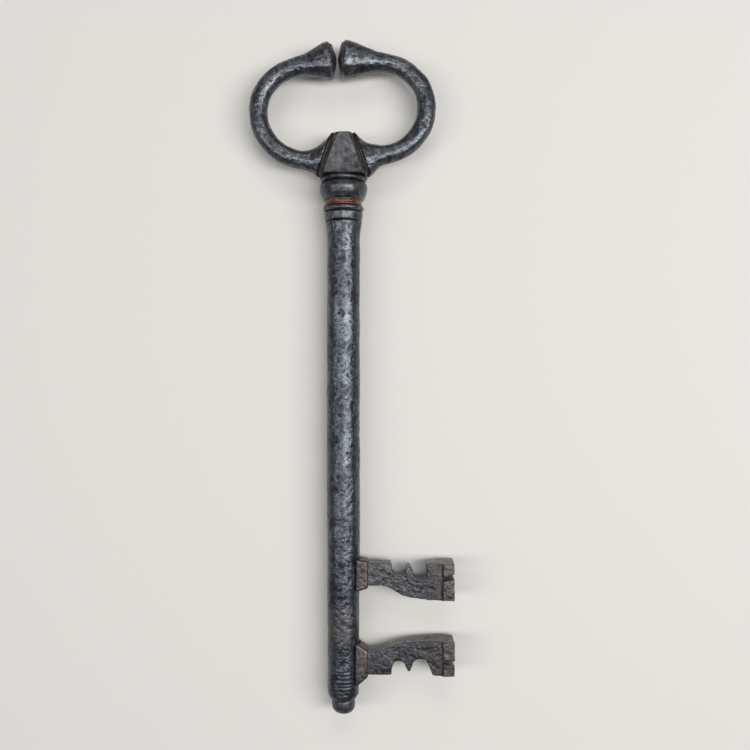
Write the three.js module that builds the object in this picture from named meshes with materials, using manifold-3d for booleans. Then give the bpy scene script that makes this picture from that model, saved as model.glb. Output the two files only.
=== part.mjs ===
// Wrought iron key, lying flat. Millimetres, +Y to the bow, +X to the bits, +Z up.
// Every sub-part is modelled about the shank's axis, and the finished key is set down on z = 0.
import * as THREE from 'three';
import { ConvexGeometry } from 'three/addons/geometries/ConvexGeometry.js';
import { mergeVertices } from 'three/addons/utils/BufferGeometryUtils.js';
import Module from 'manifold-3d';

const wasm = await Module();
wasm.setup();

// Clearances between the forged pieces
const JOINT_GAP = 0.2;
const SEAM_WIDTH = 0.55;

// Shank, measured along Y from the middle of the key
const SHANK_RADIUS = 4.15;
const SHANK_END_RADIUS = 3.95;
const SHANK_TOP_RADIUS = 4.65;
const SHANK_TOP = 38.8;
const SHANK_FLARE_LENGTH = 5;
const SHANK_TAPER_START = -40;
const SHANK_BOTTOM = -81.2;
const SHANK_CHAMFER = 0.6;
const TENON_RADIUS = 3;
const TENON_LENGTH = 15.2;

// Nose that pilots the key into the far plate of the lock
const NOSE_RADIUS = 2.95;
const NOSE_LENGTH = 3.8;
const NOSE_ROUND = 2.1;
const NOSE_GROOVE = 0.5;

// Collar stack on the shank's tenon, from the shank up to the bow
const BAND_HEIGHT = 2.4;
const BAND_RADIUS = 4.95;
const NECK_HEIGHT = 1.5;
const NECK_RADIUS = 5.2;
const BRAZE_HEIGHT = 1.4;
const BRAZE_RADIUS = 4.75;
const BEAD_HEIGHT = 4.45;
const BEAD_RADIUS = 6.05;
const BEAD_FOOT_RADIUS = 4.95;
const BEAD_SWELL_HEIGHT = 3.1;
const BEAD_LIP = 0.5;
const FILLET_HEIGHT = 1.65;
const FILLET_RADIUS = 5.85;
const RING_EDGE = 0.35;
const LINE_DEPTH = 0.2;

// Faceted block between the two arms of the bow
const BLOCK_HEIGHT = 10.8;
const BLOCK_BASE_WIDTH = 12.2;
const BLOCK_TOP_WIDTH = 4.4;
const BLOCK_BASE_DEPTH = 10.8;
const BLOCK_TOP_DEPTH = 5.2;
const BLOCK_BASE_BEVEL = 1;
const BLOCK_TOP_BEVEL = 0.8;

// Arms of the bow: rounded bar, splayed where it meets the block, flared at the tip
const ARM_WIDTH = 4.75;
const ARM_DEPTH = 4.6;
const ARM_ROOT_DEPTH = 6.8;
const ARM_ROOT_RUN = 7;
const ARM_ROOT_TURN = 10;
const ARM_ROOT_RISE = 1.2;
const ARM_ROOT_OUT = 1.9;
const ARM_DIP_HANDLE = 2;
const ARM_CROWN_SAG = 0.9;
const ARM_CROWN_LIFT = 0.6;
const ARM_TIP_WIDTH = 10;
const ARM_TIP_DEPTH = 8.4;
const ARM_TIP_DOME = 2.6;
const ARM_TIP_CLOSE = 0.02;
const ROOT_CURVE = 2.4;
const FLARE_CURVE = 1.7;
const DOME_CURVE = 2.6;
const ARM_GAP = 0.4;
const ARM_GAP_X = -1.6;
const LEFT_ARM = {
  side: -1, dipX: 9, dipY: 54.3, reachX: 21.5, reachY: 66.6, crownX: 10, crownY: 78.3, tipY: 79.5, flareRun: 12.5,
};
const RIGHT_ARM = {
  side: 1, dipX: 8.8, dipY: 55.6, reachX: 21, reachY: 67.6, crownX: 10.5, crownY: 78.9, tipY: 79.7, flareRun: 14,
};

// Bits: two mirrored steps with the same wards
const BIT_END_X = 27.8;
const BIT_ROOT_HEIGHT = 5.7;
const BIT_ROOT_THICKNESS = 4.2;
const BIT_MIDDLE_THICKNESS = 4.6;
const BIT_END_THICKNESS = 6.6;
const BIT_RIB_THICKNESS = 7.8;
const BIT_RIB_WIDTH = 2.8;
const BIT_RIB_STEP = 0.4;
const BIT_TENON_DEPTH = 2.6;
const BIT_TENON_THICKNESS = 2.8;
const BIT_TENON_SHOULDER = 0.7;
const BIT_TENON_OVERLAP = 0.6;
const WARD_ONE_X = 12.1;
const WARD_ONE_DEPTH = 3.4;
const WARD_ROUND = 1.7;
const SPIKE_X = 16.4;
const SPIKE_BASE = 1.9;
const SPIKE_DROP = 0.9;
const SPIKE_SHOULDER = 2.3;
const SPIKE_POINT = 0.5;
const WARD_TWO_X = 20.9;
const WARD_TWO_DEPTH = 4;
const SLIT_DEPTH = 3.1;
const SLIT_WIDTH = 1.3;
const SLIT_INNER_WIDTH = 0.9;
const SLIT_OFFSET = 2.4;
const SLIT_SLOPE = 0.9;
const UPPER_BIT = {
  edgeY: -46.9, toBack: -1, endHeight: 9.2, bellyX: 9.2, wallLean: 0, edgeFillet: 0.5, backFillet: 1.1,
};
const LOWER_BIT = {
  edgeY: -74.9, toBack: 1, endHeight: 8.5, bellyX: 7.7, wallLean: 1.3, edgeFillet: 2.8, backFillet: 2.2,
};
const BIT_CORNER = 0.5;
const BELLY_RUN = 7.4;
const BELLY_STEP = 0.5;
const BELLY_HANDLE = 3.3;
const BIT_FILLET_REACH = 2;
const BIT_FILLET_RISE = 0.6;
const BIT_FILLET_WRAP = 1.4;
const BIT_FILLET_EDGE = 0.15;

// Bezier handles as shares of a curve piece; the first one makes a quarter circle
const CIRCLE_HANDLE = 0.5523;
const CROWN_HANDLE = 0.4;
const TIP_HANDLE = 0.25;

// Facets, how much closer the rings stand at an arm's ends, and how far cutters reach
const ROUND_STEPS = 40;
const ARM_RING_POINTS = 18;
const ARM_RINGS = 46;
const RING_CROWDING = 0.12;
const CUTTER_LENGTH = 40;
const OVERSHOOT = 1;

const iron = { color: 0x4a4f55, roughness: 0.45, metalness: 0.9 };
const darkIron = { color: 0x3a3e44, roughness: 0.5, metalness: 0.9 };
const rustyIron = { color: 0x51483f, roughness: 0.6, metalness: 0.75 };
const copperBraze = { color: 0x8c5343, roughness: 0.5, metalness: 0.8 };

const key = new THREE.Group();

function addPiece(name, geometry, look) {
  const mesh = new THREE.Mesh(geometry, new THREE.MeshStandardMaterial(look));
  mesh.name = name;
  key.add(mesh);
  return mesh;
}

// Solids for cutting and joining

function toSolid(geometry) {
  const bare = geometry.clone();
  bare.deleteAttribute('normal');
  bare.deleteAttribute('uv');
  const merged = mergeVertices(bare, 1e-5);
  const vertProperties = new Float32Array(merged.attributes.position.array);
  const triVerts = new Uint32Array(merged.index.array);
  return new wasm.Manifold(new wasm.Mesh({ numProp: 3, vertProperties, triVerts }));
}

function toGeometry(solid) {
  const mesh = solid.getMesh();
  const geometry = new THREE.BufferGeometry();
  geometry.setAttribute('position', new THREE.BufferAttribute(mesh.vertProperties, mesh.numProp));
  geometry.setIndex(new THREE.BufferAttribute(mesh.triVerts, 1));
  geometry.computeVertexNormals();
  return geometry;
}

// A turned body about Y from [radius, y] pairs that start and end on the axis
function turned(profile) {
  return new THREE.LatheGeometry(profile.map(([r, y]) => new THREE.Vector2(r, y)), ROUND_STEPS);
}

// A turned ring from y0 up, bored to slip over the tenon; outside is its outer profile, from the foot up
function turnedRing(y0, height, outside) {
  const bore = TENON_RADIUS + JOINT_GAP;
  const top = y0 + height;
  const profile = [[bore, y0], ...outside.map(([r, up]) => [r, y0 + up]), [bore, top], [bore, y0]];
  return turned(profile);
}

function boxBetween(x0, x1, y0, y1, z0, z1) {
  const box = new THREE.BoxGeometry(x1 - x0, Math.abs(y1 - y0), z1 - z0);
  return box.translate((x0 + x1) / 2, (y0 + y1) / 2, (z0 + z1) / 2);
}

// Heights of the collar stack, each ring standing on the one below
const bandFoot = SHANK_TOP;
const neckFoot = bandFoot + BAND_HEIGHT;
const brazeFoot = neckFoot + NECK_HEIGHT;
const beadFoot = brazeFoot + BRAZE_HEIGHT;
const filletFoot = beadFoot + BEAD_HEIGHT;
const blockFoot = filletFoot + FILLET_HEIGHT;

// The shank's radius at a height, without its flare
function shankRadiusAt(y) {
  const along = THREE.MathUtils.clamp((SHANK_TAPER_START - y) / (SHANK_TAPER_START - SHANK_BOTTOM), 0, 1);
  return THREE.MathUtils.lerp(SHANK_RADIUS, SHANK_END_RADIUS, along);
}

// Turned and filed bar: nose, body, flared top and the tenon that carries the collars
function shankBar() {
  const noseTip = SHANK_BOTTOM - NOSE_LENGTH;
  const profile = [[0, noseTip]];
  for (let step = 0; step <= 4; step += 1) {
    const turn = (step / 4) * (Math.PI / 2);
    profile.push([
      NOSE_RADIUS - NOSE_ROUND + NOSE_ROUND * Math.sin(turn),
      noseTip + NOSE_ROUND * (1 - Math.cos(turn)),
    ]);
  }
  profile.push([NOSE_RADIUS, SHANK_BOTTOM - NOSE_GROOVE]);
  profile.push([NOSE_RADIUS - NOSE_GROOVE / 2, SHANK_BOTTOM]);
  profile.push([SHANK_END_RADIUS - SHANK_CHAMFER, SHANK_BOTTOM]);
  profile.push([SHANK_END_RADIUS, SHANK_BOTTOM + 2 * SHANK_CHAMFER]);
  profile.push([SHANK_RADIUS, SHANK_TAPER_START]);
  profile.push([SHANK_RADIUS, SHANK_TOP - SHANK_FLARE_LENGTH]);
  for (let step = 1; step <= 4; step += 1) {
    const rise = step / 4;
    profile.push([
      THREE.MathUtils.lerp(SHANK_RADIUS, SHANK_TOP_RADIUS, rise * rise),
      SHANK_TOP - SHANK_FLARE_LENGTH * (1 - rise) - LINE_DEPTH * rise,
    ]);
  }
  profile.push([SHANK_TOP_RADIUS - LINE_DEPTH, SHANK_TOP]);
  profile.push([TENON_RADIUS, SHANK_TOP]);
  profile.push([TENON_RADIUS, SHANK_TOP + TENON_LENGTH]);
  profile.push([0, SHANK_TOP + TENON_LENGTH]);
  return turned(profile);
}

function shoulderBand() {
  return turnedRing(bandFoot, BAND_HEIGHT, [
    [SHANK_TOP_RADIUS - LINE_DEPTH, 0],
    [SHANK_TOP_RADIUS, LINE_DEPTH],
    [BAND_RADIUS, BAND_HEIGHT - RING_EDGE],
    [BAND_RADIUS - RING_EDGE, BAND_HEIGHT],
  ]);
}

// A thin ring with a half-round outside
function roundRing(y0, height, radius) {
  const outside = [];
  const steps = 6;
  for (let step = 0; step <= steps; step += 1) {
    const turn = (step / steps) * Math.PI;
    outside.push([radius - (height / 2) * (1 - Math.sin(turn)), (height / 2) * (1 - Math.cos(turn))]);
  }
  return turnedRing(y0, height, outside);
}

// The copper braze that fills the groove, slightly hollow
function collarBraze() {
  return turnedRing(brazeFoot, BRAZE_HEIGHT, [
    [BRAZE_RADIUS, 0],
    [BRAZE_RADIUS - RING_EDGE, BRAZE_HEIGHT / 2],
    [BRAZE_RADIUS, BRAZE_HEIGHT],
  ]);
}

// Cup-shaped bead, widest in its upper half
function collarBead() {
  const cup = [];
  for (let step = 0; step <= 4; step += 1) {
    const rise = step / 4;
    cup.push([
      THREE.MathUtils.lerp(BEAD_FOOT_RADIUS, BEAD_RADIUS, Math.sin(rise * (Math.PI / 2))),
      BEAD_SWELL_HEIGHT * rise,
    ]);
  }
  return turnedRing(beadFoot, BEAD_HEIGHT, [
    ...cup,
    [BEAD_RADIUS - RING_EDGE / 2, BEAD_HEIGHT - RING_EDGE],
    [BEAD_RADIUS - BEAD_LIP, BEAD_HEIGHT],
  ]);
}

// The eight corners of the block's section at a height, from width, depth and bevel
function octagon(width, depth, bevel, y) {
  const corners = [];
  for (const [sx, sz] of [[1, 1], [-1, 1], [-1, -1], [1, -1]]) {
    corners.push(new THREE.Vector3(sx * (width / 2 - bevel), y, sz * (depth / 2)));
    corners.push(new THREE.Vector3(sx * (width / 2), y, sz * (depth / 2 - bevel)));
  }
  return corners;
}

const blockTop = blockFoot + BLOCK_HEIGHT;

// Truncated pyramid with a blind socket for the shank's tenon
function rootBlock() {
  const outer = new ConvexGeometry([
    ...octagon(BLOCK_BASE_WIDTH, BLOCK_BASE_DEPTH, BLOCK_BASE_BEVEL, blockFoot),
    ...octagon(BLOCK_TOP_WIDTH, BLOCK_TOP_DEPTH, BLOCK_TOP_BEVEL, blockTop),
  ]);
  const socketTop = SHANK_TOP + TENON_LENGTH + JOINT_GAP;
  const socket = turned([
    [0, blockFoot - OVERSHOOT],
    [TENON_RADIUS + JOINT_GAP, blockFoot - OVERSHOOT],
    [TENON_RADIUS + JOINT_GAP, socketTop],
    [0, socketTop],
  ]);
  return toGeometry(toSolid(outer).subtract(toSolid(socket)));
}

// The block's flank: direction up along it, and the direction square to it, away from the axis
const flankUp = new THREE.Vector3((BLOCK_TOP_WIDTH - BLOCK_BASE_WIDTH) / 2, BLOCK_HEIGHT, 0).normalize();
const flankOut = new THREE.Vector3(flankUp.y, -flankUp.x, 0);
const flankLength = Math.hypot((BLOCK_BASE_WIDTH - BLOCK_TOP_WIDTH) / 2, BLOCK_HEIGHT);
const flankMiddle = new THREE.Vector3((BLOCK_BASE_WIDTH + BLOCK_TOP_WIDTH) / 4, (blockFoot + blockTop) / 2, 0);

// A point of the right flank, mirrored for the left: along the flank from its middle, and away from it
function flankPoint(side, along, out, z) {
  const point = flankMiddle.clone().addScaledVector(flankUp, along).addScaledVector(flankOut, out);
  return new THREE.Vector3(side * point.x, point.y, z);
}

// Centre line of an arm: root, lowest point, widest reach, crown and tip, as smooth curve pieces
function armCentreLine(arm) {
  const at = (x, y) => new THREE.Vector3(arm.side * x, y, 0);
  const root = flankPoint(arm.side, 0, SEAM_WIDTH + JOINT_GAP, 0);
  const tipX = arm.side * (ARM_GAP_X + arm.side * ARM_GAP / 2);
  const path = new THREE.CurvePath();
  path.add(new THREE.CubicBezierCurve3(
    root,
    new THREE.Vector3(root.x + arm.side * ARM_ROOT_OUT, root.y - ARM_ROOT_RISE, 0),
    at(arm.dipX - ARM_DIP_HANDLE, arm.dipY),
    at(arm.dipX, arm.dipY),
  ));
  path.add(new THREE.CubicBezierCurve3(
    at(arm.dipX, arm.dipY),
    at(THREE.MathUtils.lerp(arm.dipX, arm.reachX, CIRCLE_HANDLE), arm.dipY),
    at(arm.reachX, THREE.MathUtils.lerp(arm.reachY, arm.dipY, CIRCLE_HANDLE)),
    at(arm.reachX, arm.reachY),
  ));
  path.add(new THREE.CubicBezierCurve3(
    at(arm.reachX, arm.reachY),
    at(arm.reachX, THREE.MathUtils.lerp(arm.reachY, arm.crownY, CIRCLE_HANDLE)),
    at(THREE.MathUtils.lerp(arm.crownX, arm.reachX, CIRCLE_HANDLE), arm.crownY - ARM_CROWN_SAG),
    at(arm.crownX, arm.crownY),
  ));
  path.add(new THREE.CubicBezierCurve3(
    at(arm.crownX, arm.crownY),
    at(THREE.MathUtils.lerp(arm.crownX, tipX, CROWN_HANDLE), arm.crownY + ARM_CROWN_LIFT),
    at(THREE.MathUtils.lerp(arm.crownX, tipX, 1 - TIP_HANDLE), arm.tipY),
    at(tipX, arm.tipY),
  ));
  return path;
}

// Width and depth of an arm's section, from the distances left to its root and to its tip
function armSection(fromRoot, fromTip, rootWidth, flareRun) {
  const splay = Math.max(1 - fromRoot / ARM_ROOT_RUN, 0) ** ROOT_CURVE;
  const flare = (1 - THREE.MathUtils.smoothstep(fromTip, ARM_TIP_DOME / 3, flareRun)) ** FLARE_CURVE;
  const dome = Math.sqrt(1 - Math.max(1 - fromTip / ARM_TIP_DOME, 0) ** DOME_CURVE);
  const width = ARM_WIDTH + (rootWidth - ARM_WIDTH) * splay + (ARM_TIP_WIDTH - ARM_WIDTH) * flare;
  const depth = ARM_DEPTH + (ARM_ROOT_DEPTH - ARM_DEPTH) * splay + (ARM_TIP_DEPTH - ARM_DEPTH) * flare;
  return { width: width * dome, depth: depth * dome };
}

// A closed body through rings of points, each end closed by a fan about the ring's centre
function loftRings(rings, centres) {
  const count = rings[0].length;
  const points = rings.flat();
  const first = points.length;
  const last = first + 1;
  points.push(centres[0], centres[1]);
  const index = [];
  for (let ring = 0; ring < rings.length - 1; ring += 1) {
    for (let i = 0; i < count; i += 1) {
      const a = ring * count + i;
      const b = ring * count + ((i + 1) % count);
      index.push(a, b, b + count, a, b + count, a + count);
    }
  }
  const end = (rings.length - 1) * count;
  for (let i = 0; i < count; i += 1) {
    const next = (i + 1) % count;
    index.push(first, next, i);
    index.push(last, end + i, end + next);
  }
  const geometry = new THREE.BufferGeometry().setFromPoints(points);
  geometry.setIndex(index);
  geometry.computeVertexNormals();
  return geometry;
}

// The forged arm: sections stand square to the centre line, and turn onto the block's flank at the root
function bowArm(arm) {
  const line = armCentreLine(arm);
  const length = line.getLength();
  const rootWidth = flankLength + 2 * JOINT_GAP;
  const rings = [];
  const centres = [];
  for (let ring = 0; ring < ARM_RINGS; ring += 1) {
    const even = ring / (ARM_RINGS - 1);
    const share = even + RING_CROWDING * Math.sin(Math.PI * even) * (even - 0.5);
    const centre = line.getPointAt(share);
    const tangent = line.getTangentAt(share);
    const fromRoot = share * length;
    const fromTip = Math.max(length - fromRoot, ARM_TIP_CLOSE);
    const square = new THREE.Vector3(-tangent.y, tangent.x, 0).multiplyScalar(arm.side);
    const flank = new THREE.Vector3(arm.side * flankUp.x, flankUp.y, 0);
    const turn = 1 - THREE.MathUtils.smoothstep(fromRoot, 0, ARM_ROOT_TURN);
    const across = square.lerp(flank, turn).normalize();
    const { width, depth } = armSection(fromRoot, fromTip, rootWidth, arm.flareRun);
    const points = [];
    for (let i = 0; i < ARM_RING_POINTS; i += 1) {
      const angle = (i / ARM_RING_POINTS) * 2 * Math.PI * arm.side;
      const point = centre.clone().addScaledVector(across, (width / 2) * Math.cos(angle));
      point.z = (depth / 2) * Math.sin(angle);
      points.push(point);
    }
    rings.push(points);
    if (ring === 0 || ring === ARM_RINGS - 1) {
      centres.push(centre);
    }
  }
  return loftRings(rings, centres);
}

// The braze in the seam between an arm and the block, an oval plate on the flank
function armBraze(side) {
  const halfWidth = flankLength / 2;
  const halfDepth = BLOCK_TOP_DEPTH / 2 + JOINT_GAP;
  const rings = [JOINT_GAP, SEAM_WIDTH].map((out) => {
    const points = [];
    for (let i = 0; i < ARM_RING_POINTS; i += 1) {
      const angle = (i / ARM_RING_POINTS) * 2 * Math.PI * side;
      points.push(flankPoint(side, halfWidth * Math.cos(angle), out, halfDepth * Math.sin(angle)));
    }
    return points;
  });
  return loftRings(rings, [flankPoint(side, 0, JOINT_GAP, 0), flankPoint(side, 0, SEAM_WIDTH, 0)]);
}

// Plan outline of a bit. Depths run from the warded edge towards the back that faces the other bit.
function bitPlan(bit) {
  const y = (depth) => bit.edgeY + bit.toBack * depth;
  const shape = new THREE.Shape();
  const inner = SHANK_RADIUS / 2;
  const spikeLeft = SPIKE_X - SPIKE_BASE / 2;
  const spikeRight = SPIKE_X + SPIKE_BASE / 2;
  const wallTop = WARD_TWO_X + bit.wallLean;
  const bellyEnd = bit.bellyX + BELLY_RUN;
  shape.moveTo(inner, y(0));
  shape.lineTo(WARD_ONE_X - BIT_CORNER, y(0));
  shape.quadraticCurveTo(WARD_ONE_X, y(0), WARD_ONE_X, y(BIT_CORNER));
  shape.quadraticCurveTo(WARD_ONE_X, y(WARD_ONE_DEPTH), WARD_ONE_X + WARD_ROUND, y(WARD_ONE_DEPTH));
  shape.quadraticCurveTo(spikeLeft, y(WARD_ONE_DEPTH), spikeLeft, y(SPIKE_SHOULDER));
  shape.lineTo(SPIKE_X - SPIKE_POINT / 2, y(SPIKE_DROP));
  shape.lineTo(SPIKE_X + SPIKE_POINT / 2, y(SPIKE_DROP));
  shape.lineTo(spikeRight, y(SPIKE_SHOULDER));
  shape.quadraticCurveTo(spikeRight, y(WARD_TWO_DEPTH), spikeRight + WARD_ROUND, y(WARD_TWO_DEPTH));
  shape.lineTo(WARD_TWO_X - BIT_CORNER, y(WARD_TWO_DEPTH));
  shape.quadraticCurveTo(WARD_TWO_X, y(WARD_TWO_DEPTH), WARD_TWO_X, y(WARD_TWO_DEPTH - BIT_CORNER));
  shape.lineTo(wallTop, y(BIT_CORNER));
  shape.quadraticCurveTo(wallTop, y(0), wallTop + BIT_CORNER, y(0));
  shape.lineTo(BIT_END_X, y(0));
  shape.lineTo(BIT_END_X, y(bit.endHeight));
  shape.lineTo(WARD_TWO_X, y(bit.endHeight));
  shape.lineTo(bellyEnd, y(bit.endHeight - BELLY_STEP));
  shape.bezierCurveTo(
    bellyEnd - BELLY_HANDLE, y(bit.endHeight - 2 * BELLY_STEP),
    bit.bellyX + BELLY_HANDLE, y(BIT_ROOT_HEIGHT),
    bit.bellyX, y(BIT_ROOT_HEIGHT),
  );
  shape.lineTo(inner, y(BIT_ROOT_HEIGHT));
  shape.closePath();
  return shape;
}

// Side view of a bit: its thickness along X, stepped up at the end rib
function bitThickness() {
  const ribX = BIT_END_X - BIT_RIB_WIDTH;
  const steps = [
    [0, BIT_ROOT_THICKNESS],
    [WARD_ONE_X, BIT_ROOT_THICKNESS],
    [SPIKE_X, BIT_MIDDLE_THICKNESS],
    [WARD_TWO_X, (BIT_MIDDLE_THICKNESS + BIT_END_THICKNESS) / 2],
    [ribX - BIT_RIB_STEP, BIT_END_THICKNESS],
    [ribX, BIT_RIB_THICKNESS],
    [BIT_END_X + OVERSHOOT, BIT_RIB_THICKNESS],
  ];
  const above = steps.map(([x, thickness]) => new THREE.Vector2(x, thickness / 2));
  const below = steps.map(([x, thickness]) => new THREE.Vector2(x, -thickness / 2)).reverse();
  return new THREE.Shape([...above, ...below]);
}

// The slanted slit that is sawn in from the end of the bit
function bitSlit(bit) {
  const y = (depth) => bit.edgeY + bit.toBack * depth;
  const inX = BIT_END_X - SLIT_DEPTH;
  const outX = BIT_END_X + OVERSHOOT;
  const slit = new THREE.Shape([
    new THREE.Vector2(inX, y(SLIT_OFFSET + SLIT_SLOPE)),
    new THREE.Vector2(outX, y(SLIT_OFFSET)),
    new THREE.Vector2(outX, y(SLIT_OFFSET + SLIT_WIDTH)),
    new THREE.Vector2(inX, y(SLIT_OFFSET + SLIT_SLOPE + SLIT_INNER_WIDTH)),
  ]);
  const cut = new THREE.ExtrudeGeometry(slit, { depth: 2 * BIT_RIB_THICKNESS, bevelEnabled: false });
  return cut.translate(0, 0, -BIT_RIB_THICKNESS);
}

// A rod on the shank's axis that holds the bits clear of the round bar
function shankClearance(bit) {
  const radius = shankRadiusAt(bit.edgeY + bit.toBack * BIT_ROOT_HEIGHT / 2) + JOINT_GAP;
  const low = bit.edgeY - CUTTER_LENGTH / 2;
  const high = bit.edgeY + CUTTER_LENGTH / 2;
  return turned([[0, low], [radius, low], [radius, high], [0, high]]);
}

// The bit's tenon, or the slot that it sits in when a clearance is given
function bitTenon(bit, clearance) {
  const shoulder = BIT_TENON_SHOULDER - clearance;
  const inX = shankRadiusAt(bit.edgeY) - BIT_TENON_DEPTH - clearance;
  const outX = shankRadiusAt(bit.edgeY) + BIT_TENON_OVERLAP + clearance;
  const half = BIT_TENON_THICKNESS / 2 + clearance;
  return boxBetween(
    inX, outX,
    bit.edgeY + bit.toBack * shoulder,
    bit.edgeY + bit.toBack * (BIT_ROOT_HEIGHT - shoulder),
    -half, half,
  );
}

// A bit is what its plan and its side view have in common, less the slit, plus the tenon
function bitBlade(bit) {
  const plan = new THREE.ExtrudeGeometry(bitPlan(bit), {
    depth: BIT_RIB_THICKNESS, bevelEnabled: false, curveSegments: 5,
  });
  plan.translate(0, 0, -BIT_RIB_THICKNESS / 2);
  const side = new THREE.ExtrudeGeometry(bitThickness(), { depth: CUTTER_LENGTH, bevelEnabled: false });
  side.rotateX(Math.PI / 2);
  side.translate(0, bit.edgeY + CUTTER_LENGTH / 2, 0);
  const blade = toSolid(plan).intersect(toSolid(side)).subtract(toSolid(bitSlit(bit)));
  return toGeometry(blade.subtract(toSolid(shankClearance(bit))).add(toSolid(bitTenon(bit, 0))));
}

// Braze round the bit's root: a four-sided collar that tapers from the shank out along the blade
function bitBraze(bit) {
  const y = (depth) => bit.edgeY + bit.toBack * depth;
  const nearX = shankRadiusAt(bit.edgeY) - BIT_FILLET_WRAP;
  const farX = shankRadiusAt(bit.edgeY) + BIT_FILLET_REACH;
  const nearHalf = BIT_ROOT_THICKNESS / 2 + JOINT_GAP + BIT_FILLET_RISE;
  const farHalf = BIT_ROOT_THICKNESS / 2 + JOINT_GAP + BIT_FILLET_EDGE;
  const thin = JOINT_GAP + BIT_FILLET_EDGE;
  const corners = [];
  for (const sz of [-1, 1]) {
    corners.push(new THREE.Vector3(nearX, y(-bit.edgeFillet - thin), sz * nearHalf));
    corners.push(new THREE.Vector3(nearX, y(BIT_ROOT_HEIGHT + bit.backFillet + thin), sz * nearHalf));
    corners.push(new THREE.Vector3(farX, y(-thin), sz * farHalf));
    corners.push(new THREE.Vector3(farX, y(BIT_ROOT_HEIGHT + thin), sz * farHalf));
  }
  const half = BIT_ROOT_THICKNESS / 2 + JOINT_GAP;
  const bladeRoom = boxBetween(0, farX + OVERSHOOT, y(-JOINT_GAP), y(BIT_ROOT_HEIGHT + JOINT_GAP), -half, half);
  const collar = toSolid(new ConvexGeometry(corners)).subtract(toSolid(bladeRoom));
  return toGeometry(collar.subtract(toSolid(shankClearance(bit))));
}

function shank() {
  const slots = toSolid(bitTenon(UPPER_BIT, JOINT_GAP)).add(toSolid(bitTenon(LOWER_BIT, JOINT_GAP)));
  return toGeometry(toSolid(shankBar()).subtract(slots));
}

addPiece('shank', shank(), iron);
addPiece('shoulder_band', shoulderBand(), iron);
addPiece('neck_ring', roundRing(neckFoot, NECK_HEIGHT, NECK_RADIUS), iron);
addPiece('collar_braze', collarBraze(), copperBraze);
addPiece('collar_bead', collarBead(), iron);
addPiece('fillet_ring', roundRing(filletFoot, FILLET_HEIGHT, FILLET_RADIUS), iron);
addPiece('bow_root_block', rootBlock(), rustyIron);
addPiece('left_bow_arm', bowArm(LEFT_ARM), darkIron);
addPiece('right_bow_arm', bowArm(RIGHT_ARM), darkIron);
addPiece('left_arm_braze', armBraze(LEFT_ARM.side), copperBraze);
addPiece('right_arm_braze', armBraze(RIGHT_ARM.side), copperBraze);
addPiece('upper_bit', bitBlade(UPPER_BIT), darkIron);
addPiece('lower_bit', bitBlade(LOWER_BIT), darkIron);
addPiece('upper_bit_braze', bitBraze(UPPER_BIT), copperBraze);
addPiece('lower_bit_braze', bitBraze(LOWER_BIT), copperBraze);

// Set the key down on z = 0 with the middle of its box over the origin
const bounds = new THREE.Box3().setFromObject(key);
const middle = bounds.getCenter(new THREE.Vector3());
key.position.set(-middle.x, -middle.y, -bounds.min.z);

export default key;
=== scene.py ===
"""Looks of the wrought iron key: forged, filed and pitted surfaces with rust and braze.

Every CAD node is replaced by a finer piece: its solid is remeshed, softened and then worked
like the real iron, with hammer marks, pits and file cuts. Metres, in the frame of the CAD.
"""

import math

import bpy
import numpy as np
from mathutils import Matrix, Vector, noise


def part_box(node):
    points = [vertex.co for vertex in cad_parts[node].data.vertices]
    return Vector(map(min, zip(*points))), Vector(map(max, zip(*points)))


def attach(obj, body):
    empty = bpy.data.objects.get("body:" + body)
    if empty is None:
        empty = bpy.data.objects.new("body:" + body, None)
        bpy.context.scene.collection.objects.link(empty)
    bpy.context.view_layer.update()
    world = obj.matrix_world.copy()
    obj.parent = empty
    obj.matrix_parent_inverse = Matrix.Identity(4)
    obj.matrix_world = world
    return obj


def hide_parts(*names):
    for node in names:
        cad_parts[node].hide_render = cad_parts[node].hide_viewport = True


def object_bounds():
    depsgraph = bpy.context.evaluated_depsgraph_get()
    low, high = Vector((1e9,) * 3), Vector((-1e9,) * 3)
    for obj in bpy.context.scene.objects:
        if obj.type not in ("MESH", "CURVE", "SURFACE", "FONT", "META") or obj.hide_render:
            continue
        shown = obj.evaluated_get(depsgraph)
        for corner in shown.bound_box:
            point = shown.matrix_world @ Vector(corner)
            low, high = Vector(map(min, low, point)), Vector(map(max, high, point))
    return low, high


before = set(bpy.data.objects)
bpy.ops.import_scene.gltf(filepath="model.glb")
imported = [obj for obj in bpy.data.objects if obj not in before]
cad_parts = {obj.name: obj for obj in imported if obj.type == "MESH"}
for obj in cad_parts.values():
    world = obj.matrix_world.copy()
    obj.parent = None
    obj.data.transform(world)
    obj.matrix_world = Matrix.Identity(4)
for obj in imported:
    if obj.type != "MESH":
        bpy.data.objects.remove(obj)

cad_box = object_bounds()

MM = 0.001

# The photograph's camera: straight down on the key, close enough to show perspective
PHOTO_PIXELS = 750
PIXELS_PER_MM = 3.96
SHANK_PIXEL_X = 343.5
KEY_MIDDLE_PIXEL_Y = 376.5
CAMERA_HEIGHT = 225 * MM

# Places on the key, from the CAD and from the measures of its nose and of the gap in its bow
NOSE_LENGTH = 3.8 * MM
TIP_GAP_LEFT_OF_AXIS = 1.6 * MM
TIP_GAP = 0.4 * MM

shank_low, shank_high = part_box("shank")
block_low, block_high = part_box("bow_root_block")
upper_bit_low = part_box("upper_bit")[0]
lower_bit_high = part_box("lower_bit")[1]
AXIS_X = (shank_low[0] + shank_high[0]) / 2
AXIS_Z = (shank_low[2] + shank_high[2]) / 2
KEY_MIDDLE_Y = (cad_box[0][1] + cad_box[1][1]) / 2
NOSE_TOP_Y = shank_low[1] + NOSE_LENGTH

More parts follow.
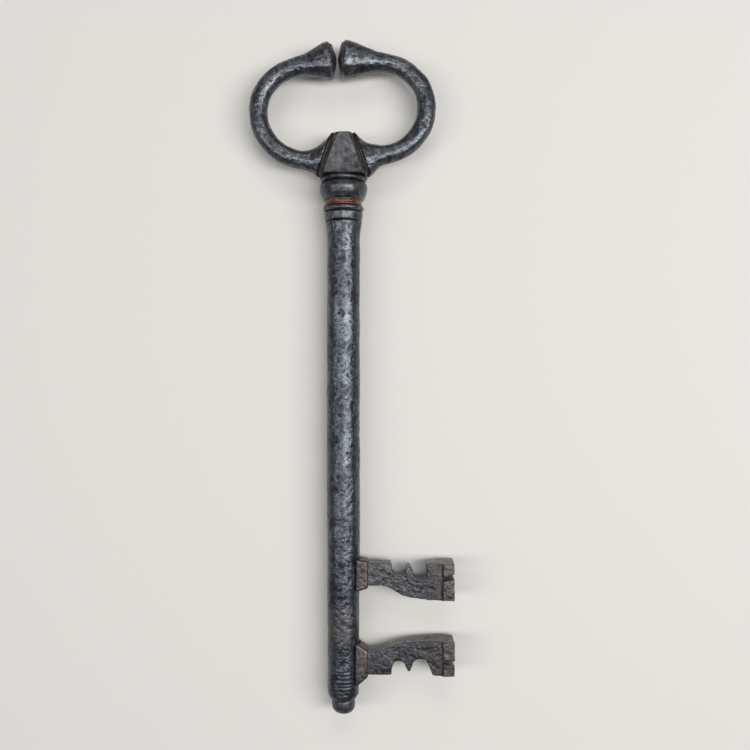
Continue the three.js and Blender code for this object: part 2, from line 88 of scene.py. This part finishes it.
# Sizes of the marks on the iron, and the noise levels at which its two kinds of pits begin
HAMMER_MARK = 5 * MM
LARGE_PIT = 1.7 * MM
SMALL_PIT = 0.75 * MM
GRAIN = 0.4 * MM
RUST_PATCH = 6 * MM
LARGE_PIT_FROM = 0.12
SMALL_PIT_FROM = 0.18

# Grooves filed above the nose: spacing, depth, and half the length of the filed part, in mm
CUT_SPACING = 0.95
CUT_DEPTH = 0.045
CUT_HALF_LENGTH = 4.2

# The flat front of the block: half its width at the foot, and how much that loses up to the top
BLOCK_FRONT_HALF = 5.1
BLOCK_FRONT_LOSS = 3.7

FLOOR_REACH = 1.2


# Shapes

def fine_copy(node, name, voxel, smoothing):
    """A new object with the CAD node's solid, remeshed to small even faces and softened."""
    piece = bpy.data.objects.new(name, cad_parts[node].data.copy())
    piece.data.materials.clear()
    bpy.context.scene.collection.objects.link(piece)
    remesh = piece.modifiers.new("remesh", "REMESH")
    remesh.mode = "VOXEL"
    remesh.voxel_size = voxel
    soften = piece.modifiers.new("soften", "SMOOTH")
    soften.factor = 0.5
    soften.iterations = smoothing
    graph = bpy.context.evaluated_depsgraph_get()
    mesh = bpy.data.meshes.new_from_object(piece.evaluated_get(graph))
    piece.modifiers.clear()
    piece.data = mesh
    mesh.polygons.foreach_set("use_smooth", [True] * len(mesh.polygons))
    return piece


def points_and_normals(mesh):
    """Two arrays, the vertices and their normals."""
    count = len(mesh.vertices)
    points = np.empty(count * 3)
    normals = np.empty(count * 3)
    mesh.vertices.foreach_get("co", points)
    mesh.vertices.foreach_get("normal", normals)
    return points.reshape(-1, 3), normals.reshape(-1, 3)


def set_attribute(mesh, name, values):
    """Stores one number per vertex, which the materials read."""
    layer = mesh.attributes.new(name, "FLOAT", "POINT")
    layer.data.foreach_set("value", np.clip(values, 0, 1))


def noise_at(points, size, seed):
    """Smooth noise from -1 to 1 at each point, with lumps of about the given size."""
    offset = Vector((seed * 7.31, seed * 3.17, seed * 5.93))
    return np.array([noise.noise(Vector(p) / size + offset) for p in points])


def work_surface(piece, seed, hammer, pitting, grain, swell=0.0, rust=None, extra=None):
    """Works the iron: broad hammer marks, pits, fine grain, and what extra adds, all in metres."""
    mesh = piece.data
    points, normals = points_and_normals(mesh)
    broad = noise_at(points, HAMMER_MARK, seed)
    large = noise_at(points, LARGE_PIT, seed + 1)
    small = noise_at(points, SMALL_PIT, seed + 2)
    tiny = noise_at(points, GRAIN, seed + 3)
    pits = (np.clip(large - LARGE_PIT_FROM, 0, 1) * 1.4
            + np.clip(small - SMALL_PIT_FROM, 0, 1) * 1.2)
    height = swell + hammer * broad - pitting * pits + grain * tiny
    if extra is not None:
        height = height + extra(points)
    moved = points + normals * height[:, None]
    mesh.vertices.foreach_set("co", moved.ravel())
    set_attribute(mesh, "pit", pits * 1.3)
    patches = noise_at(points, RUST_PATCH, seed + 4)
    zone = np.zeros(len(points)) if rust is None else rust(points)
    set_attribute(mesh, "rust", zone * (0.75 + 0.5 * patches))
    mesh.update()


def file_cuts(points):
    """Grooves filed round the shank just above its nose, unevenly spaced as by hand."""
    along = (points[:, 1] - NOSE_TOP_Y) / MM
    fade = np.clip(1 - np.abs(along - CUT_HALF_LENGTH) / CUT_HALF_LENGTH, 0, 1) ** 0.5
    wave = np.sin(along * 2 * math.pi / CUT_SPACING + 0.6 * np.sin(along * 1.7))
    return CUT_DEPTH * MM * fade * wave


def block_facet_brown(points):
    """Brown on the block's oblique facets, grey on its flat front and back."""
    rise = np.clip((points[:, 1] - block_low[1]) / (block_high[1] - block_low[1]), 0, 1)
    half_front = (BLOCK_FRONT_HALF - BLOCK_FRONT_LOSS * rise) * MM
    beside = np.abs(points[:, 0] - AXIS_X) - half_front
    return 0.12 + 0.8 * np.clip(beside / (0.8 * MM), 0, 1)


def arm_rust(points):
    """Brown on the two faces of the gap between the arms' tips."""
    gap_x = AXIS_X - TIP_GAP_LEFT_OF_AXIS
    from_face = np.abs(points[:, 0] - gap_x) - TIP_GAP
    at_tip = points[:, 1] > block_high[1]
    return 0.08 + 0.9 * at_tip * np.clip(1 - from_face / (1.3 * MM), 0, 1)


def near(points, low, high, soft):
    """1 between the two heights along the key, falling to 0 over soft."""
    y = points[:, 1]
    distance = np.maximum(np.maximum(low - y, y - high), 0)
    return np.clip(1 - distance / soft, 0, 1)


def shank_rust(points):
    """Brown patches between the bits and on the nose."""
    between = near(points, lower_bit_high[1] + 1.5 * MM, upper_bit_low[1] - 4 * MM, 3 * MM)
    nose = near(points, shank_low[1], NOSE_TOP_Y, 1 * MM)
    return 0.55 * between + 0.5 * nose


def everywhere(amount):
    """The same rust at every point."""
    return lambda points: np.full(len(points), amount)


def bit_rust(points):
    """More rust towards the end block of a bit, and at its root."""
    x = points[:, 0] - AXIS_X
    end = np.clip((x - 19 * MM) / (6 * MM), 0, 1)
    root = np.clip((8 * MM - x) / (4 * MM), 0, 1)
    return 0.2 + 0.5 * end + 0.45 * root


# Materials

def new_material(name):
    material = bpy.data.materials.new(name)
    material.use_nodes = True
    nodes = material.node_tree.nodes
    nodes.clear()
    return material, nodes, material.node_tree.links


def add_noise(nodes, links, coords, size, detail, roughness=0.6):
    """A noise texture whose lumps are about size across."""
    node = nodes.new("ShaderNodeTexNoise")
    node.inputs["Scale"].default_value = 1 / size
    node.inputs["Detail"].default_value = detail
    node.inputs["Roughness"].default_value = roughness
    links.new(coords, node.inputs["Vector"])
    return node.outputs["Fac"]


def add_range(nodes, links, value, low, high, out_low=0.0, out_high=1.0):
    """Maps value from low..high to out_low..out_high, clamped."""
    node = nodes.new("ShaderNodeMapRange")
    node.inputs["From Min"].default_value = low
    node.inputs["From Max"].default_value = high
    node.inputs["To Min"].default_value = out_low
    node.inputs["To Max"].default_value = out_high
    links.new(value, node.inputs["Value"])
    return node.outputs["Result"]


def add_math(nodes, links, operation, a, b, clamp=False):
    node = nodes.new("ShaderNodeMath")
    node.operation = operation
    node.use_clamp = clamp
    for socket, value in zip(node.inputs, (a, b)):
        if isinstance(value, (int, float)):
            socket.default_value = value
        else:
            links.new(value, socket)
    return node.outputs[0]


def add_mix(nodes, links, factor, a, b):
    """Mixes two colours, each a tuple or a socket."""
    node = nodes.new("ShaderNodeMix")
    node.data_type = "RGBA"
    links.new(factor, node.inputs["Factor"])
    for socket, value in ((node.inputs["A"], a), (node.inputs["B"], b)):
        if isinstance(value, tuple):
            socket.default_value = (*value, 1)
        else:
            links.new(value, socket)
    return node.outputs["Result"]


def add_attribute(nodes, name):
    node = nodes.new("ShaderNodeAttribute")
    node.attribute_name = name
    return node.outputs["Fac"]


def iron_material(name, dark, bright, rust_colour, wear, rough_low, rough_high, bump):
    """Blued, waxed iron: worn bright in places, dark in its pits, with rust where it gathers.

    wear says how much of it is worn bright, and bump how deep its finest relief is.
    """
    material, nodes, links = new_material(name)
    coords = nodes.new("ShaderNodeTexCoord").outputs["Object"]
    pit = add_attribute(nodes, "pit")
    rust = add_attribute(nodes, "rust")
    mottle = add_noise(nodes, links, coords, 1.1 * MM, 6)
    cloud = add_noise(nodes, links, coords, 9 * MM, 3)
    speck = add_noise(nodes, links, coords, 0.3 * MM, 5, 0.7)

    worn_mottle = add_range(nodes, links, mottle, 0.32, 0.8)
    worn_cloud = add_range(nodes, links, cloud, 0.35, 0.7, -0.15, 0.3)
    worn_speck = add_range(nodes, links, speck, 0.52, 0.66, 0.0, 0.45)
    worn = add_math(nodes, links, "ADD", worn_mottle, worn_cloud)
    worn = add_math(nodes, links, "ADD", worn, worn_speck, clamp=True)
    worn = add_math(nodes, links, "MULTIPLY", worn, wear)
    iron = add_mix(nodes, links, worn, dark, bright)
    pitted = add_math(nodes, links, "MULTIPLY", pit, 0.7, clamp=True)
    pit_dark = tuple(0.4 * c for c in dark)
    iron = add_mix(nodes, links, pitted, iron, pit_dark)

    rust_mottle = add_range(nodes, links, mottle, 0.3, 0.62, 0.25, 1.1)
    rust_cloud = add_range(nodes, links, cloud, 0.4, 0.65, 0.0, 0.3)
    speckled = add_range(nodes, links, speck, 0.42, 0.6)
    rust_speck = add_range(nodes, links, speckled, 0, 1, 0.6, 1.0)
    gathered = add_math(nodes, links, "MULTIPLY", rust, rust_mottle)
    in_pits = add_math(nodes, links, "MULTIPLY", pit, rust_cloud)
    rusty = add_math(nodes, links, "ADD", gathered, in_pits, clamp=True)
    rusty = add_math(nodes, links, "MULTIPLY", rusty, rust_speck)
    colour = add_mix(nodes, links, rusty, iron, rust_colour)

    shader = nodes.new("ShaderNodeBsdfPrincipled")
    links.new(colour, shader.inputs["Base Color"])
    metallic = add_range(nodes, links, rusty, 0.0, 0.9, 0.95, 0.15)
    links.new(metallic, shader.inputs["Metallic"])
    clean_rough = add_range(nodes, links, cloud, 0.35, 0.65, rough_high, rough_low)
    rust_rough = add_math(nodes, links, "MULTIPLY", rusty, 0.3)
    rough = add_math(nodes, links, "ADD", clean_rough, rust_rough, clamp=True)
    links.new(rough, shader.inputs["Roughness"])
    shader.inputs["Coat Weight"].default_value = 0.15
    shader.inputs["Coat Roughness"].default_value = 0.35

    relief = add_math(nodes, links, "ADD", speck, add_math(nodes, links, "MULTIPLY", mottle, 1.6))
    bump_node = nodes.new("ShaderNodeBump")
    bump_node.inputs["Strength"].default_value = 0.8
    bump_node.inputs["Distance"].default_value = bump
    links.new(relief, bump_node.inputs["Height"])
    links.new(bump_node.outputs["Normal"], shader.inputs["Normal"])

    output = nodes.new("ShaderNodeOutputMaterial")
    links.new(shader.outputs["BSDF"], output.inputs["Surface"])
    return material


BLUE_BLACK = (0.024, 0.028, 0.035)
GREY_IRON = (0.17, 0.187, 0.208)
BRIGHT_IRON = (0.23, 0.25, 0.272)
BLOCK_GREY = (0.19, 0.195, 0.2)
BROWN_RUST = (0.07, 0.044, 0.03)
PALE_RUST = (0.11, 0.072, 0.05)
COPPER_DARK = (0.09, 0.042, 0.032)
COPPER_BRIGHT = (0.3, 0.15, 0.115)
PINK_DARK = (0.028, 0.028, 0.031)
PINK_BRIGHT = (0.18, 0.158, 0.152)
SEAM_DARK = (0.03, 0.024, 0.021)
SEAM_BRIGHT = (0.11, 0.085, 0.072)

SHANK_IRON = iron_material("shank_iron", BLUE_BLACK, GREY_IRON, BROWN_RUST,
                           wear=0.62, rough_low=0.2, rough_high=0.4, bump=0.07 * MM)
RING_IRON = iron_material("ring_iron", BLUE_BLACK, GREY_IRON, BROWN_RUST,
                          wear=0.75, rough_low=0.2, rough_high=0.36, bump=0.05 * MM)
ARM_IRON = iron_material("arm_iron", BLUE_BLACK, BRIGHT_IRON, BROWN_RUST,
                         wear=0.7, rough_low=0.18, rough_high=0.36, bump=0.08 * MM)
BLOCK_IRON = iron_material("block_iron", BLUE_BLACK, BLOCK_GREY, PALE_RUST,
                           wear=0.75, rough_low=0.28, rough_high=0.45, bump=0.05 * MM)
BIT_IRON = iron_material("bit_iron", BLUE_BLACK, GREY_IRON, PALE_RUST,
                         wear=0.35, rough_low=0.16, rough_high=0.32, bump=0.11 * MM)
COLLAR_COPPER = iron_material("collar_copper", COPPER_DARK, COPPER_BRIGHT, BROWN_RUST,
                              wear=0.9, rough_low=0.3, rough_high=0.5, bump=0.04 * MM)
BIT_COPPER = iron_material("bit_copper", PINK_DARK, PINK_BRIGHT, PALE_RUST,
                           wear=0.6, rough_low=0.28, rough_high=0.5, bump=0.07 * MM)
SEAM_COPPER = iron_material("seam_copper", SEAM_DARK, SEAM_BRIGHT, BROWN_RUST,
                            wear=0.6, rough_low=0.4, rough_high=0.6, bump=0.04 * MM)


def finished(node, name, slot, material, voxel, smoothing, **work):
    """Builds, works, paints and mounts the piece that stands for one CAD node."""
    piece = fine_copy(node, name, voxel, smoothing)
    work_surface(piece, **work)
    piece.data.materials.append(material)
    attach(piece, "root")
    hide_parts(node)


FINE = 0.2 * MM
FINER = 0.16 * MM

finished("shank", "shank_forged", "iron", SHANK_IRON, FINE, 3, seed=11,
         hammer=0.12 * MM, pitting=0.13 * MM, grain=0.025 * MM, rust=shank_rust, extra=file_cuts)
iron_rings = ("shoulder_band", "neck_ring", "collar_bead", "fillet_ring")
for seed, ring in enumerate(iron_rings, start=31):
    finished(ring, ring + "_filed", "iron", RING_IRON, FINER, 2, seed=seed * 3,
             hammer=0.05 * MM, pitting=0.06 * MM, grain=0.012 * MM, rust=everywhere(0.22))
finished("collar_braze", "collar_braze_run", "braze", COLLAR_COPPER, FINER, 2, seed=61,
         hammer=0.1 * MM, pitting=0.05 * MM, grain=0.02 * MM, swell=0.05 * MM)
finished("bow_root_block", "root_block_filed", "iron", BLOCK_IRON, FINER, 2, seed=71,
         hammer=0.07 * MM, pitting=0.06 * MM, grain=0.015 * MM, rust=block_facet_brown)
for seed, side in enumerate(("left", "right"), start=4):
    finished(side + "_bow_arm", side + "_arm_forged", "iron", ARM_IRON, FINE, 3, seed=seed * 21,
             hammer=0.18 * MM, pitting=0.15 * MM, grain=0.025 * MM, rust=arm_rust)
    finished(side + "_arm_braze", side + "_seam_braze", "braze", SEAM_COPPER, FINER, 1,
             seed=seed * 23, hammer=0.08 * MM, pitting=0.04 * MM, grain=0.02 * MM, swell=0.25 * MM)
for seed, level in enumerate(("upper", "lower"), start=7):
    finished(level + "_bit", level + "_bit_forged", "iron", BIT_IRON, FINER, 3, seed=seed * 29,
             hammer=0.15 * MM, pitting=0.14 * MM, grain=0.03 * MM, rust=bit_rust)
    finished(level + "_bit_braze", level + "_bit_fillet", "braze", BIT_COPPER, FINER, 12,
             seed=seed * 37, hammer=0.14 * MM, pitting=0.1 * MM, grain=0.025 * MM, swell=0.24 * MM,
             rust=everywhere(0.18))


# Floor, light and camera

def floor():
    """A plain pale floor under the key."""
    mesh = bpy.data.meshes.new("floor")
    signs = ((-1, -1), (1, -1), (1, 1), (-1, 1))
    corners = [(x * FLOOR_REACH, y * FLOOR_REACH, 0) for x, y in signs]
    mesh.from_pydata(corners, [], [(0, 1, 2, 3)])
    ground = bpy.data.objects.new("floor", mesh)
    bpy.context.scene.collection.objects.link(ground)
    material, nodes, links = new_material("pale_floor")
    shader = nodes.new("ShaderNodeBsdfPrincipled")
    shader.inputs["Base Color"].default_value = (0.62, 0.6, 0.57, 1)
    shader.inputs["Roughness"].default_value = 0.9
    output = nodes.new("ShaderNodeOutputMaterial")
    links.new(shader.outputs["BSDF"], output.inputs["Surface"])
    mesh.materials.append(material)


def softbox(name, x, y, z, width, length, power):
    """A soft lamp over the key, turned to face its middle."""
    light = bpy.data.lights.new(name, "AREA")
    light.shape = "RECTANGLE"
    light.size = width
    light.size_y = length
    light.energy = power
    lamp = bpy.data.objects.new(name, light)
    lamp.location = (x, y, z)
    aim = Vector((AXIS_X, 0, 0)) - Vector(lamp.location)
    lamp.rotation_euler = aim.to_track_quat("-Z", "Y").to_euler()
    bpy.context.scene.collection.objects.link(lamp)


def world_light(strength):
    world = bpy.data.worlds.new("soft_room")
    world.use_nodes = True
    back = world.node_tree.nodes["Background"]
    back.inputs["Color"].default_value = (0.93, 0.96, 1, 1)
    back.inputs["Strength"].default_value = strength
    bpy.context.scene.world = world


def photo_camera():
    """The photograph's view: its image centre lies beside the key, on the side of the bits."""
    field = PHOTO_PIXELS / PIXELS_PER_MM * MM
    data = bpy.data.cameras.new("photo_camera")
    data.sensor_fit = "HORIZONTAL"
    data.angle = 2 * math.atan(field / 2 / CAMERA_HEIGHT)
    data.clip_start = 0.01
    camera = bpy.data.objects.new("photo_camera", data)
    middle_x = AXIS_X + (PHOTO_PIXELS / 2 - SHANK_PIXEL_X) / PIXELS_PER_MM * MM
    middle_y = KEY_MIDDLE_Y + (KEY_MIDDLE_PIXEL_Y - PHOTO_PIXELS / 2) / PIXELS_PER_MM * MM
    camera.location = (middle_x, middle_y, AXIS_Z + CAMERA_HEIGHT)
    bpy.context.scene.collection.objects.link(camera)
    bpy.context.scene.camera = camera


floor()
world_light(0.16)
softbox("right_window", 0.3, 0.0, 0.62, 0.2, 0.7, 4.6)
softbox("left_window", -0.42, -0.04, 0.6, 0.14, 0.6, 1.7)
softbox("far_window", 0.05, 0.6, 0.6, 0.5, 0.25, 1.2)
photo_camera()
bpy.context.scene.view_settings.view_transform = "Standard"
